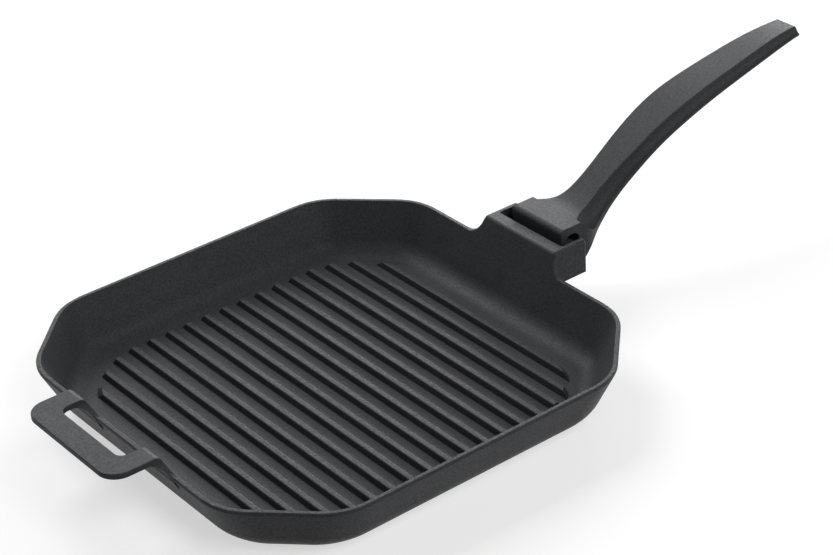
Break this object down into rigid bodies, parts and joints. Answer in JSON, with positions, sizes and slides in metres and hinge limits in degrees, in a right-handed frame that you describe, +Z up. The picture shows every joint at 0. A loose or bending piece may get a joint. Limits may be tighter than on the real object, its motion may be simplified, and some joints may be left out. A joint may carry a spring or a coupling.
{
  "type": "square cast iron skillet",
  "caption": "Square cut-cornered cast iron grill pan with a ribbed floor, sloping walls, a flat helper loop and a curved handle that hooks into a raised socket.",
  "frame": {"origin": "centre of the pan's flat base, on the surface it rests on", "axes": "+Z up out of the pan, +X along the lift-off handle, -X towards the helper loop, ribs along Y"},
  "size_m": [0.5395, 0.28, 0.1128],
  "materials": {
    "pan": "matt black, fine cast grain",
    "handle": "matt black, fine cast grain"
  },
  "bodies": {
    "pan": {"pan": "pan"},
    "handle": {"handle": "handle"}
  },
  "joints": [
    {"name": "handle_lift", "type": "slide", "parent": "pan", "child": "handle", "axis": [0, 0, 1], "range_m": [0, 0.06]}
  ]
}
